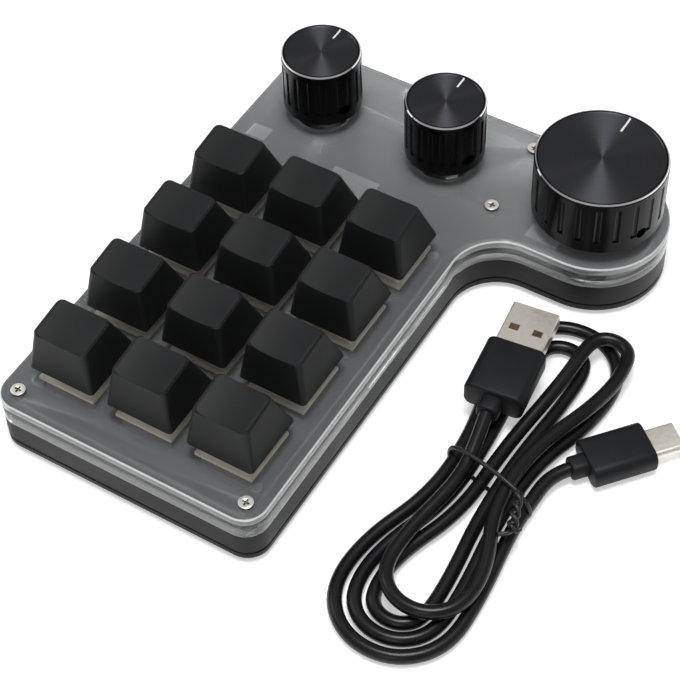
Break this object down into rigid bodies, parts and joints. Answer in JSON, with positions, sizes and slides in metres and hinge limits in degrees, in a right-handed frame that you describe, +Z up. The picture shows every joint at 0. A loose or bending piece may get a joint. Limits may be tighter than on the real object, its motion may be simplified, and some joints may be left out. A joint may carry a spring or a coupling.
{
  "type": "macro keypad with knobs",
  "caption": "Small layered keypad with sprung square keys and three push-and-turn knobs, the largest on a round side lobe.",
  "frame": {"origin": "on the table, under the middle of the keypad's footprint", "axes": "+Z up, +Y from the front key row to the knobs, +X towards the side lobe and its large knob"},
  "size_m": [0.1438, 0.1487, 0.0372],
  "materials": {
    "board_laminate": "black solder mask",
    "cable_jacket": "satin black jacket",
    "cap_black": "fine textured black",
    "case_black": "moulded black, fine satin texture",
    "chip_black": "moulded black",
    "clear_acrylic": "clear, polished edges",
    "encoder_steel": "plain",
    "foot_rubber": "matt black",
    "frosted_acrylic": "frosted face, polished edge",
    "grub_steel": "dark",
    "knob_anodised": "black anodised, spun face, bright cut rim",
    "light_resin": "milky",
    "plug_black": "moulded black with a steel shell",
    "screw_steel": "nickel plated",
    "shaft_steel": "plain",
    "socket_steel": "plain",
    "spring_steel": "plain",
    "stem_plastic": "plain",
    "switch_clear": "milky clear",
    "tie_black": "plastic-covered wire",
    "white_nylon": "white"
  },
  "bodies": {
    "case": {"base_tray": "case_black", "board_connectors": "white_nylon", "board_posts": "white_nylon", "bottom_cover": "case_black", "cable_tie": "tie_black", "circuit_board": "board_laminate", "clear_frame": "clear_acrylic", "cover_screws": "screw_steel", "key_lights": "light_resin", "large_encoder": "encoder_steel", "left_encoder": "encoder_steel", "microcontroller": "chip_black", "middle_encoder": "encoder_steel", "plate_screws": "screw_steel", "rubber_feet": "foot_rubber", "switch_housings_left": "switch_clear", "switch_housings_middle": "switch_clear", "switch_housings_right": "switch_clear", "switch_springs": "spring_steel", "top_plate": "frosted_acrylic", "usb_a_plug": "plug_black", "usb_c_plug": "plug_black", "usb_c_socket": "socket_steel", "usb_cable": "cable_jacket"},
    "key_r1_c1": {"keycap_r1_c1": "cap_black", "switch_stem_r1_c1": "stem_plastic"},
    "key_r1_c2": {"keycap_r1_c2": "cap_black", "switch_stem_r1_c2": "stem_plastic"},
    "key_r1_c3": {"keycap_r1_c3": "cap_black", "switch_stem_r1_c3": "stem_plastic"},
    "key_r2_c1": {"keycap_r2_c1": "cap_black", "switch_stem_r2_c1": "stem_plastic"},
    "key_r2_c2": {"keycap_r2_c2": "cap_black", "switch_stem_r2_c2": "stem_plastic"},
    "key_r2_c3": {"keycap_r2_c3": "cap_black", "switch_stem_r2_c3": "stem_plastic"},
    "key_r3_c1": {"keycap_r3_c1": "cap_black", "switch_stem_r3_c1": "stem_plastic"},
    "key_r3_c2": {"keycap_r3_c2": "cap_black", "switch_stem_r3_c2": "stem_plastic"},
    "key_r3_c3": {"keycap_r3_c3": "cap_black", "switch_stem_r3_c3": "stem_plastic"},
    "key_r4_c1": {"keycap_r4_c1": "cap_black", "switch_stem_r4_c1": "stem_plastic"},
    "key_r4_c2": {"keycap_r4_c2": "cap_black", "switch_stem_r4_c2": "stem_plastic"},
    "key_r4_c3": {"keycap_r4_c3": "cap_black", "switch_stem_r4_c3": "stem_plastic"},
    "left_push": {"left_encoder_plunger": "shaft_steel"},
    "left_turn": {"left_knob": "knob_anodised", "left_encoder_shaft": "shaft_steel", "left_grub_screw": "grub_steel"},
    "middle_push": {"middle_encoder_plunger": "shaft_steel"},
    "middle_turn": {"middle_knob": "knob_anodised", "middle_encoder_shaft": "shaft_steel", "middle_grub_screw": "grub_steel"},
    "large_push": {"large_encoder_plunger": "shaft_steel"},
    "large_turn": {"large_knob": "knob_anodised", "large_encoder_shaft": "shaft_steel", "large_grub_screw": "grub_steel"}
  },
  "joints": [
    {"name": "key_r1_c1_press", "type": "slide", "parent": "case", "child": "key_r1_c1", "axis": [0, 0, -1], "range_m": [0, 0.004], "stiffness_N_per_m": 75, "springref_m": -0.004, "deforming": ["switch_springs"]},
    {"name": "key_r1_c2_press", "type": "slide", "parent": "case", "child": "key_r1_c2", "axis": [0, 0, -1], "range_m": [0, 0.004], "stiffness_N_per_m": 75, "springref_m": -0.004, "deforming": ["switch_springs"]},
    {"name": "key_r1_c3_press", "type": "slide", "parent": "case", "child": "key_r1_c3", "axis": [0, 0, -1], "range_m": [0, 0.004], "stiffness_N_per_m": 75, "springref_m": -0.004, "deforming": ["switch_springs"]},
    {"name": "key_r2_c1_press", "type": "slide", "parent": "case", "child": "key_r2_c1", "axis": [0, 0, -1], "range_m": [0, 0.004], "stiffness_N_per_m": 75, "springref_m": -0.004, "deforming": ["switch_springs"]},
    {"name": "key_r2_c2_press", "type": "slide", "parent": "case", "child": "key_r2_c2", "axis": [0, 0, -1], "range_m": [0, 0.004], "stiffness_N_per_m": 75, "springref_m": -0.004, "deforming": ["switch_springs"]},
    {"name": "key_r2_c3_press", "type": "slide", "parent": "case", "child": "key_r2_c3", "axis": [0, 0, -1], "range_m": [0, 0.004], "stiffness_N_per_m": 75, "springref_m": -0.004, "deforming": ["switch_springs"]},
    {"name": "key_r3_c1_press", "type": "slide", "parent": "case", "child": "key_r3_c1", "axis": [0, 0, -1], "range_m": [0, 0.004], "stiffness_N_per_m": 75, "springref_m": -0.004, "deforming": ["switch_springs"]},
    {"name": "key_r3_c2_press", "type": "slide", "parent": "case", "child": "key_r3_c2", "axis": [0, 0, -1], "range_m": [0, 0.004], "stiffness_N_per_m": 75, "springref_m": -0.004, "deforming": ["switch_springs"]},
    {"name": "key_r3_c3_press", "type": "slide", "parent": "case", "child": "key_r3_c3", "axis": [0, 0, -1], "range_m": [0, 0.004], "stiffness_N_per_m": 75, "springref_m": -0.004, "deforming": ["switch_springs"]},
    {"name": "key_r4_c1_press", "type": "slide", "parent": "case", "child": "key_r4_c1", "axis": [0, 0, -1], "range_m": [0, 0.004], "stiffness_N_per_m": 75, "springref_m": -0.004, "deforming": ["switch_springs"]},
    {"name": "key_r4_c2_press", "type": "slide", "parent": "case", "child": "key_r4_c2", "axis": [0, 0, -1], "range_m": [0, 0.004], "stiffness_N_per_m": 75, "springref_m": -0.004, "deforming": ["switch_springs"]},
    {"name": "key_r4_c3_press", "type": "slide", "parent": "case", "child": "key_r4_c3", "axis": [0, 0, -1], "range_m": [0, 0.004], "stiffness_N_per_m": 75, "springref_m": -0.004, "deforming": ["switch_springs"]},
    {"name": "left_knob_press", "type": "slide", "parent": "case", "child": "left_push", "axis": [0, 0, -1], "range_m": [0, 0.0005], "stiffness_N_per_m": 4000, "springref_m": -0.0005},
    {"name": "left_knob_turn", "type": "hinge", "parent": "left_push", "child": "left_turn", "pos_m": [-0.03988, 0.05045, 0.03], "axis": [0, 0, 1], "continuous": true},
    {"name": "middle_knob_press", "type": "slide", "parent": "case", "child": "middle_push", "axis": [0, 0, -1], "range_m": [0, 0.0005], "stiffness_N_per_m": 4000, "springref_m": -0.0005},
    {"name": "middle_knob_turn", "type": "hinge", "parent": "middle_push", "child": "middle_turn", "pos_m": [-0.00337, 0.05045, 0.03], "axis": [0, 0, 1], "continuous": true},
    {"name": "large_knob_press", "type": "slide", "parent": "case", "child": "large_push", "axis": [0, 0, -1], "range_m": [0, 0.0005], "stiffness_N_per_m": 4000, "springref_m": -0.0005},
    {"name": "large_knob_turn", "type": "hinge", "parent": "large_push", "child": "large_turn", "pos_m": [0.03913, 0.05205, 0.03], "axis": [0, 0, 1], "continuous": true}
  ]
}
